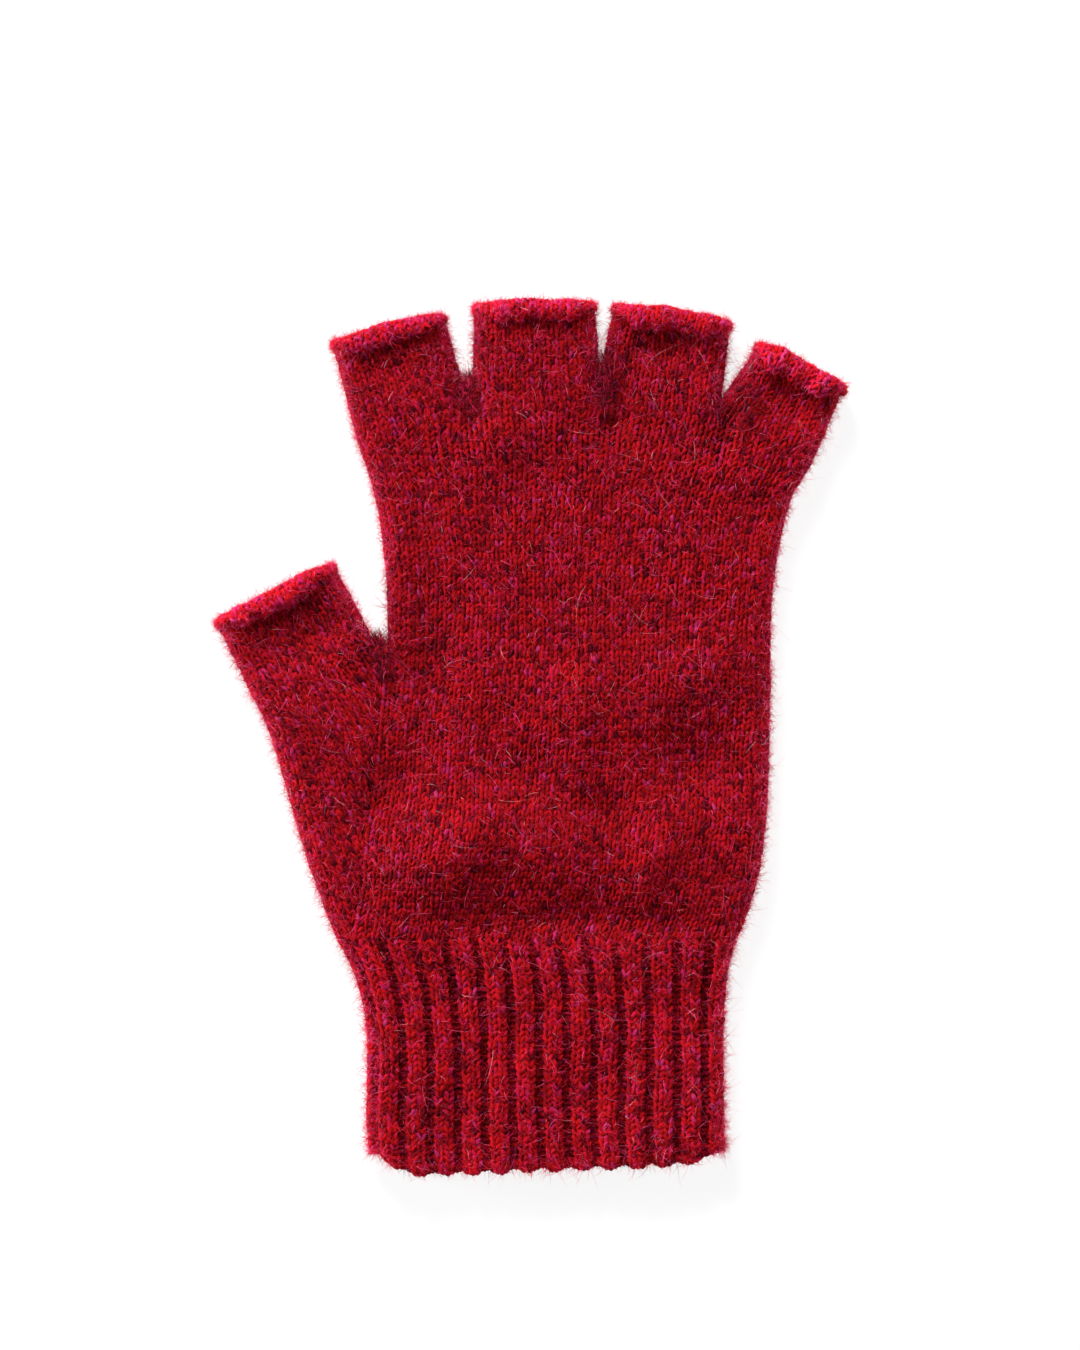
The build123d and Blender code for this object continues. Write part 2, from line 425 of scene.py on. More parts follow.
def hem_shape(share, v):
    """Pushes the rim down under each rib and rounds its two corners."""
    above = np.maximum(v - hem_y, 0)
    leftward = np.cos(2 * math.pi * share)  # one on the left fold, minus one on the right fold
    corner = leftward**30
    lifted = (4.6 + 1.4 * leftward) * corner
    scallops = 0.45 * np.cos(2 * math.pi * RIBS * share) * (1 - corner)
    slant = 3.4 * (1 - 2 * np.abs(share - 0.5))
    return np.exp(-above / HEM_FADE) * (lifted - scallops) + slant * np.exp(-above / CORNER_FADE)


cuff_tube = hand_tube(
    "rib_cuff", hem_y - 2, wrist_y + 4, (hem_y + 4.5, wrist_y - 1.0), relief=rib_relief, warp=hem_shape
)
cuff_tube.right += 0.6
lower_tube.right += 0.6 * smoothstep((-8 - lower_tube.stations) / 30)
cuff_girth = float(cuff_tube.girth(hem_y + 8.0))


def short_of(finger, plan):
    return (plan[..., :2] - finger.base) @ finger.forward < SEAM_LAP


def below_fingers(plan):
    return np.all([short_of(shapes[name], plan) for name in FOUR_FINGERS], axis=0)


def below_thumb(plan):
    return short_of(shapes["thumb"], plan) & (plan[..., 1] < split_y)


# ---------- meshes


def make_mesh(name, points, faces, materials, slots=None, values=None):
    """A smooth mesh object from points in millimetres and a list of face arrays of any sizes."""
    mesh = bpy.data.meshes.new(name)
    mesh.vertices.add(len(points))
    mesh.vertices.foreach_set("co", (points * MM).astype(np.float32).ravel())
    corners = np.concatenate([f.ravel() for f in faces]).astype(np.int32)
    sizes = np.concatenate([np.full(len(f), f.shape[1], np.int32) for f in faces])
    starts = np.concatenate([[0], np.cumsum(sizes)[:-1]]).astype(np.int32)
    mesh.loops.add(len(corners))
    mesh.loops.foreach_set("vertex_index", corners)
    mesh.polygons.add(len(sizes))
    mesh.polygons.foreach_set("loop_start", starts)
    for material in materials:
        mesh.materials.append(material)
    if slots is not None:
        mesh.polygons.foreach_set("material_index", slots.astype(np.int32))
    for key, value in (values or {}).items():
        layer = mesh.attributes.new(key, "FLOAT", "POINT")
        layer.data.foreach_set("value", value.astype(np.float32).ravel())
    mesh.update()
    mesh.shade_smooth()
    piece = bpy.data.objects.new(name, mesh)
    bpy.context.scene.collection.objects.link(piece)
    return piece


def strand_faces(count, rings, sides):
    """The faces of many closed strands of a few rings each: their quads and their two end caps."""
    ring, side = np.meshgrid(np.arange(rings - 1), np.arange(sides), indexing="ij")
    after = (side + 1) % sides
    below, above = ring * sides, (ring + 1) * sides
    quad = np.stack([below + side, below + after, above + after, above + side], -1).reshape(-1, 4)
    cap = np.array([np.arange(sides)[::-1], (rings - 1) * sides + np.arange(sides)])
    shift = (np.arange(count) * rings * sides)[:, None, None]
    return [(quad + shift).reshape(-1, 4), (cap + shift).reshape(-1, sides)]


def strand_points(path, normal, radius, sides, flat=1.0):
    """Rings of points round many paths. path and normal are (strands, points, 3)."""
    tangent = np.gradient(path, axis=1)
    tangent /= np.linalg.norm(tangent, axis=2, keepdims=True) + 1e-9
    normal = normal - (normal * tangent).sum(2, keepdims=True) * tangent
    normal /= np.linalg.norm(normal, axis=2, keepdims=True) + 1e-9
    beside = np.cross(tangent, normal)
    angle = np.linspace(0, 2 * math.pi, sides, endpoint=False) + math.pi / 2
    up = np.sin(angle)[None, None, :, None] * normal[:, :, None, :] * flat
    out = np.cos(angle)[None, None, :, None] * beside[:, :, None, :]
    return path[:, :, None, :] + radius[:, :, None, None] * (up + out)


# ---------- stitches


class Knit:
    """Collects the stitches of one piece."""

    def __init__(self):
        self.points, self.shade, self.near = [], [], []
        self.rings = None

    def add(self, path, normal, radius, shade, near):
        rings = strand_points(path, normal, radius, YARN_SIDES, 0.9)
        self.rings = path.shape[1]
        self.points.append(rings.reshape(len(path), -1, 3))
        self.shade.append(np.repeat(shade, YARN_SIDES, axis=1))
        self.near.append(np.repeat(near, YARN_SIDES, axis=1))

    def build(self, name, materials):
        points = np.concatenate(self.points)
        faces = strand_faces(len(points), self.rings, YARN_SIDES)
        values = {"shade": np.concatenate(self.shade), "near": np.concatenate(self.near)}
        return make_mesh(name, points.reshape(-1, 3), faces, materials, values=values)


def yarn_shades(row, column, points):
    """The yarn's shade along each stitch: its two legs differ, and both follow a slower change."""
    slow = 0.03 * np.sin(column * 0.9 + row * 2.3) + 0.03 * np.sin(column * 0.31 - row * 1.7 + 1.3)
    left = 0.48 + slow + rng.normal(0, HEATHER_SPREAD, len(row))
    right = 0.48 + slow + rng.normal(0, HEATHER_SPREAD, len(row))
    share = np.linspace(0, 1, points)[None, :]
    blend = smoothstep((share - 0.42) / 0.16)
    fleck = rng.normal(0, 0.07, (len(row), points))
    return np.clip(left[:, None] * (1 - blend) + right[:, None] * blend + fleck, 0, 1)


def add_stitches(
    knit, tube, wale_line, row, column, v, width, height=COURSE, side=1, thick=1.0, lean=LOOP_LEAN, painted_brightness=1.0
):
    """Adds a loop of yarn for each row and column. wale_line(column, v) is the distance round to a column.
    side is -1 for a purl stitch, whose legs lie on the other side of the fabric."""
    count = len(v)
    t = np.linspace(0, 2 * math.pi, LOOP_POINTS)[None, :]
    along = -LOOP_REACH * np.cos(t) * height * (1 + rng.normal(0, 0.06, (count, 1)))
    along = along + rng.normal(0, 0.07, (count, 1)) + v[:, None]
    lean = lean * (1 + rng.normal(0, 0.2, (count, 1)))
    across = width[:, None] * (t / (2 * math.pi) - 0.5 + lean * np.sin(2 * t))
    across = across + rng.normal(0, 0.08, (count, 1))
    near = 1 - np.abs(np.cos(t)) ** 3 * np.ones((count, 1))
    height_c = side * PURL_DEPTH * (2 * near - 1) + rng.normal(0, 0.09, (count, 1))
    round_s = wale_line(column[:, None], along) + across
    wander = 0.22 * np.sin(along / 6.1 + 0.11 * round_s)
    round_s = round_s + wander + 0.12 * np.sin(along / 2.3 - 0.23 * round_s)
    path = tube.place(round_s, along, height_c)
    normal = tube.place(round_s, along, height_c + 0.3) - path
    radius = YARN * thick * (0.84 + 0.18 * np.abs(np.sin(t))) * (1 + rng.normal(0, 0.1, (count, 1)))
    radius = radius * np.minimum(1.0, 0.35 + 0.65 * width[:, None] / WALE)
    shades = yarn_shades(row, column, LOOP_POINTS)
    # near is painted shade as well as depth: it falls where the loop dips behind its legs, and it is lowered
    # again in sunken columns and in creases.
    knit.add(path, normal, radius * np.ones_like(path[..., 0]), shades, painted_brightness * near * openness(path))


def lattice(columns, rows, low, step):
    """Row numbers, column numbers and places along the tube of a whole lattice of stitches."""
    row, column = np.meshgrid(np.arange(rows), np.arange(columns), indexing="ij")
    row, column = row.ravel().astype(float), column.ravel().astype(float)
    return row, column, low + (row + 0.5) * step


def even_wales(tube, columns):
    return lambda column, v: tube.girth(v) * (column + 0.5) / columns


def on_front(tube, s, v):
    quarter = 0.25 * tube.girth(v)
    return np.abs(s - quarter) <= quarter


# ---------- fibres


class Fuzz:
    """Collects the fibres of one piece, by kind."""

    def __init__(self):
        self.kinds = {}

    def add(self, tube, s, v, root, length, lift, radius, rings, kind_of):
        """Adds curved fibres that start at the height root and rise from the surface by the angle lift."""
        count = len(s)
        if not count:
            return
        here = tube.place(s, v, root)
        round_way = tube.place(s + 0.3, v, root) - here
        along_way = tube.place(s, v + 0.3, root) - here
        up = tube.place(s, v, root + 0.3) - here
        for way in (round_way, along_way, up):
            way /= np.linalg.norm(way, axis=1, keepdims=True) + 1e-9
        heading = rng.random(count) * 2 * math.pi
        flat = round_way * np.cos(heading)[:, None] + along_way * np.sin(heading)[:, None]
        beside = np.cross(up, flat)
        start = flat * np.cos(lift)[:, None] + up * np.sin(lift)[:, None]
        curl = rng.normal(0, 0.45, count)[:, None]
        sink = (0.35 * np.sin(lift) * rng.random(count))[:, None]
        share = np.linspace(0, 1, rings)[None, :, None]
        path = here[:, None] + length[:, None, None] * (
            share * start[:, None] + share**2 * (curl * beside - sink * up)[:, None]
        )
        path[..., 2] = off_floor(path[..., 2], FIBRE_CLEARANCE)
        taper = radius[:, None] * (1 - 0.8 * np.linspace(0, 1, rings)[None, :] ** 1.5)
        normal = np.repeat(up[:, None], rings, axis=1) + 0.1
        points = strand_points(path, normal, taper, 3)
        self.kinds.setdefault(rings, []).append((points.reshape(count, -1, 3), kind_of(count)))

    def build(self, name):
        points, quads, caps, slots_q, slots_c, shift = [], [], [], [], [], 0
        for rings, batches in self.kinds.items():
            body = np.concatenate([b[0] for b in batches])
            kind = np.concatenate([b[1] for b in batches])
            quad, cap = strand_faces(len(body), rings, 3)
            points.append(body.reshape(-1, 3))
            quads.append(quad + shift)
            caps.append(cap + shift)
            slots_q.append(np.repeat(kind, (rings - 1) * 3))
            slots_c.append(np.repeat(kind, 2))
            shift += len(points[-1])
        faces = [np.concatenate(quads), np.concatenate(caps)]
        slots = np.concatenate(slots_q + slots_c)
        return make_mesh(name, np.concatenate(points), faces, FIBRES, slots=slots)


def pick(shares):
    """A chooser of fibre materials with the given shares."""
    edges = np.cumsum(shares) / sum(shares)
    return lambda count: np.minimum(np.searchsorted(edges, rng.random(count)), len(shares) - 1)


DOWN_KINDS = pick([0.38, 0.32, 0.22, 0.08, 0.00])
LONG_KINDS = pick([0.38, 0.34, 0.14, 0.13, 0.01])
GUARD_KINDS = pick([0.20, 0.25, 0.05, 0.42, 0.08])
# The halo fibres at the folds are mostly crimson and rose, pinker and lighter than the other fibres, as
# painted rim light.
HALO_PAINTED_RIM_KINDS = pick([0.18, 0.40, 0.02, 0.38, 0.02])
# Dark fibres for the slits, which paint the shade there; the last colour is nearly black.
SHADED_KINDS = pick([0.10, 0.18, 0.24, 0.03, 0.00, 0.45])


def add_fuzz(fuzz, tube, low, high, keep=None, front=None, amount=1.0):
    """Brushes a stretch of a tube: down, longer fibres and a few guard hairs all over it, and on its two folds
    the halo with some long stray fibres."""
    widest = float(np.max(tube.girth(np.linspace(low, high, 9))))
    area = widest * (high - low)
    # density, shortest and longest, spread of the lift, radius, rings, colours
    tiers = [
        (DOWN_DENSITY, (0.9, 2.2), 0.60, 0.052, 3, DOWN_KINDS),
        (LONG_DENSITY, (1.5, 4.0), 0.42, 0.058, 4, LONG_KINDS),
        (GUARD_DENSITY, (4.0, 9.0), 0.18, 0.040, 6, GUARD_KINDS),
        (HALO_DENSITY, (1.0, 3.2), 1.00, 0.062, 3, HALO_PAINTED_RIM_KINDS),
        (STRAY_DENSITY, (2.5, 7.0), 0.70, 0.042, 5, HALO_PAINTED_RIM_KINDS),
    ]
    on_fold = math.cos(2 * math.pi * HALO_REACH / widest)
    for density, (short, long), lift, radius, rings, kinds in tiers:
        count = int(area * density * amount)
        s = rng.random(count) * widest
        v = low + rng.random(count) * (high - low)
        size = short + (long - short) * rng.random(count) ** LENGTH_POWER
        raised = np.abs(rng.normal(0, lift, count)) + 0.06
        root = rng.normal(0.25, 0.12, count)
        thick = radius * (0.75 + 0.5 * rng.random(count))
        whole = tube.girth(v)
        shown = s < whole
        upper = on_front(tube, s, v)
        shown &= upper | (rng.random(count) < UNDERSIDE_SHARE)
        if kinds is HALO_PAINTED_RIM_KINDS:
            shown &= np.abs(np.cos(2 * math.pi * s / whole)) > on_fold
        if front is not None:
            shown &= upper == front
        places = tube.place(s, v, root)
        shown &= rng.random(count) < openness(places)
        if keep is not None:
            shown &= keep(places)
        fuzz.add(tube, *(a[shown] for a in (s, v, root, size, raised, thick)), rings, kinds)


# ---------- cores


def make_core(name, tube, low, high, keep, columns=120, rows=44, outer=CORE_OUT, inner=CORE_IN):
    """The layer behind the loops, coloured dark as painted shade in the gaps between them: a closed
    double-walled tube that ends where keep says.
    """
    share = np.arange(columns) / columns
    probe = np.linspace(low, high, CORE_PROBES)
    s = share[None, :] * tube.girth(probe)[:, None]
    v = np.repeat(probe[:, None], columns, axis=1)
    inside = keep(tube.place(s, v, np.zeros_like(s)))
    last_inside = (inside * np.arange(1, CORE_PROBES + 1)[:, None]).max(axis=0) - 1
    tops = probe[np.maximum(last_inside, 0)]
    rise = np.linspace(0, 1, rows)[:, None]
    v = low + (tops[None, :] - low) * rise
    s = share[None, :] * tube.girth(v)
    walls = [tube.place(s, v, np.full_like(s, c)) for c in (outer, inner)]
    points = np.concatenate([w.reshape(-1, 3) for w in walls])
    a = np.arange(rows * columns).reshape(rows, columns)
    b = np.roll(a, -1, axis=1)
    size = rows * columns
    outside = np.stack([a[:-1], a[1:], b[1:], b[:-1]], -1).reshape(-1, 4)
    inside_faces = outside[:, ::-1] + size
    first = np.stack([a[0], b[0], b[0] + size, a[0] + size], -1)
    last = np.stack([b[-1], a[-1], a[-1] + size, b[-1] + size], -1)
    return make_mesh(name, points, [np.concatenate([outside, inside_faces, first, last])], [BACKING])


# ---------- materials


MIX_FIRST, MIX_SECOND, MIX_COLOUR = 6, 7, 2  # a Mix node's colour sockets, which share names with others


class Nodes:
    """A short way to build a Principled material from nodes."""

    def __init__(self, name):
        self.material = bpy.data.materials.new(name)
        self.material.use_nodes = True
        self.tree = self.material.node_tree
        self.shader = self.tree.nodes["Principled BSDF"]

    def new(self, kind, **settings):
        node = self.tree.nodes.new("ShaderNode" + kind)
        for key, value in settings.items():
            setattr(node, key, value)
        return node

    def link(self, source, target):
        self.tree.links.new(source, target)

    def set(self, **values):
        for key, value in values.items():
            self.shader.inputs[key.replace("_", " ")].default_value = value

    def noise(self, scale, detail=2.0):
        place = self.new("TexCoord")
        node = self.new("TexNoise")
        node.inputs["Scale"].default_value = scale
        node.inputs["Detail"].default_value = detail
        self.link(place.outputs["Object"], node.inputs["Vector"])
        return node.outputs["Fac"]

    def ramp(self, source, stops):
        node = self.new("ValToRGB")
        band = node.color_ramp
        while len(band.elements) < len(stops):
            band.elements.new(0.5)
        for element, (place, colour) in zip(band.elements, stops):
            element.position = place
            element.color = (*colour, 1.0)
        self.link(source, node.inputs["Fac"])
        return node.outputs["Color"]

    def mix(self, way, share, first, second):
        node = self.new("Mix", data_type="RGBA", blend_type=way)
        if isinstance(share, float):
            node.inputs[0].default_value = share
        else:
            self.link(share, node.inputs[0])
        for socket, value in ((node.inputs[MIX_FIRST], first), (node.inputs[MIX_SECOND], second)):
            if isinstance(value, tuple):
                socket.default_value = (*value, 1.0)
            else:
                self.link(value, socket)
        return node.outputs[MIX_COLOUR]

    def grain(self, scale, depth):
        bump = self.new("Bump")
        bump.inputs["Strength"].default_value = 0.5
        bump.inputs["Distance"].default_value = depth
        self.link(self.noise(scale, 1.0), bump.inputs["Height"])
        self.link(bump.outputs["Normal"], self.shader.inputs["Normal"])

    def gloss(self, scale, low, high):
        spread = self.new("MapRange")
        spread.inputs["To Min"].default_value = low
        spread.inputs["To Max"].default_value = high
        self.link(self.noise(scale), spread.inputs["Value"])
        self.link(spread.outputs["Result"], self.shader.inputs["Roughness"])


# The yarn's colours by shade, from dark wine through bright red to magenta and rose
HEATHER = [
    (0.00, (0.080, 0.001, 0.007)),
    (0.16, (0.150, 0.003, 0.010)),
    (0.34, (0.320, 0.005, 0.009)),
    (0.50, (0.540, 0.006, 0.008)),
    (0.66, (0.740, 0.008, 0.010)),
    (0.76, (0.520, 0.008, 0.050)),
    (0.88, (0.540, 0.016, 0.135)),
    (1.00, (0.720, 0.045, 0.190)),
]


def yarn_material(name, shift=0.0, light=1.0):
    """Heather yarn: its shade changes from leg to leg, and finer fibres of other colours run along it."""
    made = Nodes(name)
    shade = made.new("Attribute", attribute_name="shade").outputs["Fac"]
    moved = made.new("Math", operation="MULTIPLY_ADD")
    moved.inputs[1].default_value = 0.9
    moved.inputs[2].default_value = -0.45 + shift
    made.link(made.noise(3200.0), moved.inputs[0])
    mixed = made.new("Math", operation="ADD", use_clamp=True)
    made.link(shade, mixed.inputs[0])
    made.link(moved.outputs[0], mixed.inputs[1])
    colours = [(p, tuple(min(1.0, c * light) for c in colour)) for p, colour in HEATHER]
    base = made.ramp(mixed.outputs[0], colours)
    cloud = made.ramp(made.noise(90.0), [(0.35, (0.80, 0.76, 0.82)), (0.65, (1.0, 1.0, 1.0))])
    # Painted shade: the near attribute darkens the yarn's colour where a loop dips behind its legs, in the
    # rib's sunken purl columns and in the creases.
    near = made.new("Attribute", attribute_name="near").outputs["Fac"]
    painted_shade = made.ramp(near, [(0.0, (0.22, 0.18, 0.25)), (0.75, (1.0, 1.0, 1.0))])
    cloudy = made.mix("MULTIPLY", 1.0, base, cloud)
    made.link(made.mix("MULTIPLY", 1.0, cloudy, painted_shade), made.shader.inputs["Base Color"])
    made.gloss(900.0, 0.7, 0.95)
    made.grain(2600.0, 0.00012)
    made.set(Sheen_Weight=0.3, Sheen_Roughness=0.4, Sheen_Tint=(1.0, 0.06, 0.22, 1.0))
    made.set(Specular_IOR_Level=0.04)
    return made.material


def core_material():
    """Painted shade for the gaps between the loops: the layer behind them is coloured nearly black-red."""
    made = Nodes("painted_shade_backing")
    stops = [(0.3, (0.03, 0.0005, 0.003)), (0.55, (0.09, 0.001, 0.006)), (0.75, (0.18, 0.002, 0.012))]
    made.link(made.ramp(made.noise(700.0), stops), made.shader.inputs["Base Color"])
    made.gloss(500.0, 0.85, 1.0)
    made.grain(900.0, 0.0003)
    made.set(Specular_IOR_Level=0.1)
    return made.material


def fibre_material(name, colour):
    """One plain colour, not linked to any nodes. One plain colour, so that it goes into
    the export without a baked picture.
    """
    made = Nodes(name)
    made.set(Base_Color=(*colour, 1.0), Roughness=0.55, Specular_IOR_Level=0.12)
    return made.material


# Three copies of one yarn. The rolled edges' copy is lighter and pinker as painted light, where the curls
# catch the light; the cuff's copy is a little lighter than the body's.
PLAIN = yarn_material("heather_yarn", shift=0.01, light=0.70)
RIB = yarn_material("heather_rib_yarn", shift=0.03, light=0.82)
EDGE = yarn_material("heather_edge_yarn", shift=0.17, light=1.08)
BACKING = core_material()
FIBRES = [
    fibre_material("fibre_red", (0.86, 0.010, 0.012)),
    fibre_material("fibre_crimson", (0.80, 0.014, 0.095)),
    fibre_material("fibre_wine", (0.22, 0.003, 0.018)),
    fibre_material("fibre_rose", (0.94, 0.11, 0.28)),
    fibre_material("fibre_pale", (0.90, 0.40, 0.45)),
    fibre_material("fibre_painted_shade", (0.07, 0.003, 0.008)),
]


# ---------- hand sections


def stands_for(replaced):
    if replaced:
        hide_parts(*replaced)


def rides_on(piece, body, replaced=()):
    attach(piece, body)
    stands_for(replaced)


def everywhere(plan):
    return np.ones(plan.shape[:-1], bool)


def knit_both_sides(name, tube, stitches, line, width_at, height, low, high, keep):
    """Knits and brushes a section of the hand, with its upper side and its underside as separate pieces."""
    row, column, v = stitches
    s = line(column, v)
    inside = keep(tube.place(s, v, np.zeros_like(s)))
    upper = on_front(tube, s, v)
    for side, front in (("front", True), ("back", False)):
        use = inside & (upper == front)
        knit = Knit()
        add_stitches(knit, tube, line, row[use], column[use], v[use], width_at(v[use]), height)
        rides_on(knit.build(f"{name}_{side}_knit", [PLAIN]), "hand")
        fuzz = Fuzz()
        add_fuzz(fuzz, tube, low, high, keep, front)
        rides_on(fuzz.build(f"{name}_{side}_fuzz"), "hand")


def knit_hand_above_thumb():
    """The four-finger body: plain knitting from the thumb's slit up to the four fingers."""
    tube = upper_tube
    columns = int(round(float(tube.girth(split_y)) / WALE))
    top = max(shapes[name].base[1] for name in FOUR_FINGERS) + 4
    stitches = lattice(columns, int((top - split_y) / COURSE), split_y, COURSE)

    def width_at(v):
        return tube.girth(v) / columns

    line = even_wales(tube, columns)
    knit_both_sides("four_finger_body", tube, stitches, line, width_at, COURSE, split_y, top, below_fingers)
    core = make_core("four_finger_body_backing", tube, split_y, top + 2, below_fingers)
    rides_on(core, "hand", ["four_finger_body"])


def gore_line(v):
    """Where the thumb's gore meets the palm, from the thumb's slit down to the wrist."""
    share = np.clip((v - wrist_y) / (crotch[1] - wrist_y), 0, 1.3)
    low = float(np.interp(wrist_y, lower_tube.stations, lower_tube.left)) + 3.0
    return low + (crotch[0] - 1.2 - low) * share**0.85


def knit_hand_below_thumb():
    """The five-finger body: the palm's stitches run on down, and the thumb's gore fills in beside them."""
    tube = lower_tube
    rows = int(round((split_y - wrist_y) / COURSE))
    step = (split_y - wrist_y) / rows
    columns = int(round(float(upper_tube.girth(split_y)) / WALE))

    def edge(v):
        return tube.front_distance(gore_line(v), v)

    def palm_line(column, v):
        return edge(v) + (tube.girth(v) - 2 * edge(v)) * (column + 0.5) / columns

    def width_at(v):
        return (tube.girth(v) - 2 * edge(v)) / columns

    stitches = lattice(columns, rows, wrist_y, step)
    knit_both_sides(
        "five_finger_body", tube, stitches, palm_line, width_at, step, wrist_y, split_y, below_thumb
    )
    knit = Knit()
    gore_columns = int(float(edge(split_y)) / WALE)
    row, column, v = lattice(gore_columns, rows, wrist_y, step)
    for upward in (True, False):

        def gore_wale(column, v, upward=upward):
            around = WALE * (column + 0.5)
            return around if upward else tube.girth(v) - around

        s = gore_wale(column, v)
        use = (WALE * (column + 0.8) < edge(v)) & below_thumb(tube.place(s, v, np.zeros_like(s)))
        width = np.full(int(use.sum()), WALE)
        add_stitches(knit, tube, gore_wale, row[use], column[use], v[use], width, step)
    rides_on(knit.build("five_finger_body_gore_knit", [PLAIN]), "hand")
    core = make_core("five_finger_body_backing", tube, wrist_y, split_y + 0.5, below_thumb)
    rides_on(core, "hand", ["five_finger_body"])


# ---------- the fingers


def bends(piece, name, replaced=()):
    """Bakes a piece's transform into its mesh and hides the CAD parts it replaces. It reads the fold's place
    and axis but does not use them, so the piece does not bend.
    """
    joint = joints[name]
    fold = np.array(joint["pos_m"])
    axis = np.array(joint["axis"], float)
    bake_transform(piece)
    stands_for(replaced)


def knit_finger(name):
    """A finger tube with its backing, fuzz and rolled edge."""
    tube, roll, fold = shapes[name].tube, shapes[name].roll, name + "_fold"
    roll_start = roll.start
    columns = int(round(float(tube.girth(shapes[name].length / 2)) / WALE))
    line = even_wales(tube, columns)
    rows = int(round(roll_start / COURSE))
    row, column, v = lattice(columns, rows, 0.0, roll_start / rows)
    knit = Knit()
    add_stitches(knit, tube, line, row, column, v, tube.girth(v) / columns, roll_start / rows)
    bends(knit.build(name + "_knit", [PLAIN]), fold)
    core = make_core(name + "_backing", tube, -0.4, roll_start + 0.3, everywhere, columns=72, rows=20)
    bends(core, fold, [name + "_tube"])

    edge = name + "_rolled_edge"
    row, column, v = lattice(columns, int(ROLL_LENGTH / ROLL_COURSE), 0.0, ROLL_COURSE)
    line = even_wales(roll, columns)
    curl = Knit()
    width = roll.girth(v) / columns
    add_stitches(curl, roll, line, row, column, v, width, ROLL_COURSE, side=-1, thick=1.1, lean=0.3)
    rides_on(curl.build(edge + "_knit", [EDGE]), name)
    band = make_core(edge + "_backing", roll, 0.0, ROLL_LENGTH, everywhere, 96, 14, outer=0.3, inner=-0.3)
    rides_on(band, name, [edge])

    fuzz = Fuzz()
    add_fuzz(fuzz, tube, 0.0, roll_start)
    bends(fuzz.build(name + "_fuzz"), fold)
    edge_fuzz = Fuzz()
    add_roll_fuzz(edge_fuzz, roll)
    rides_on(edge_fuzz.build(edge + "_fuzz"), name)


def add_roll_fuzz(fuzz, roll):
    """Fibres on a rolled edge stand out of its purl side, which faces away from the curl."""
    widest = float(roll.girth(0.0))
    for density, (short, long), lift, radius, rings, kinds in (
        (3.6, (0.8, 2.0), 0.5, 0.052, 3, DOWN_KINDS),
        (2.0, (1.5, 3.2), 0.5, 0.055, 4, LONG_KINDS),
        (4.0, (0.8, 1.9), 1.1, 0.060, 3, HALO_PAINTED_RIM_KINDS),
    ):
        count = int(widest * ROLL_LENGTH * density)
        s = rng.random(count) * widest
        v = rng.random(count) * ROLL_LENGTH
        size = short + (long - short) * rng.random(count) ** LENGTH_POWER
        raised = -np.abs(rng.normal(0, lift, count)) - 0.1
        root = rng.normal(-0.3, 0.1, count)
        thick = radius * (0.75 + 0.5 * rng.random(count))
        fuzz.add(roll, s, v, root, size, raised, thick, rings, kinds)


# ---------- the cuff


def knit_cuff():
    """The rib: two raised columns of plain stitches, then a sunken purl column, round and round."""
    tube = cuff_tube
    top, low = wrist_y - 0.2, hem_y + 1.4
    rows = int(round((top - low) / COURSE))
    step = (top - low) / rows
    halves = {True: Knit(), False: Knit()}
    for place, wide, side, painted_brightness in RIB_COLUMNS:

        def line(column, v, place=place):
            share = (column + place) / RIBS
            return tube.girth(v) * (share + rib_shift(share, v))

        row, column, v = lattice(RIBS, rows, low, step)
        s = line(column, v)
        upper = on_front(tube, np.mod(s, tube.girth(v)), v)
        for front, knit in halves.items():
            use = upper == front
            width = tube.girth(v[use]) / RIBS * wide
            some = (row[use], column[use], v[use], width, step)
            add_stitches(knit, tube, line, *some, side=side, thick=1.08, lean=0.25, painted_brightness=painted_brightness)
    for front, knit in halves.items():
        name = "rib_cuff_front" if front else "rib_cuff_back"
        bends(knit.build(name + "_knit", [RIB]), "wrist_fold")
        fuzz = Fuzz()
        add_fuzz(fuzz, tube, hem_y + 0.6, top, front=front, amount=1.15)
        bends(fuzz.build(name + "_fuzz"), "wrist_fold")
    core = make_core("rib_cuff_backing", tube, hem_y + 1.2, top, everywhere, columns=RIBS * 12, rows=30)
    bends(core, "wrist_fold", ["rib_cuff"])


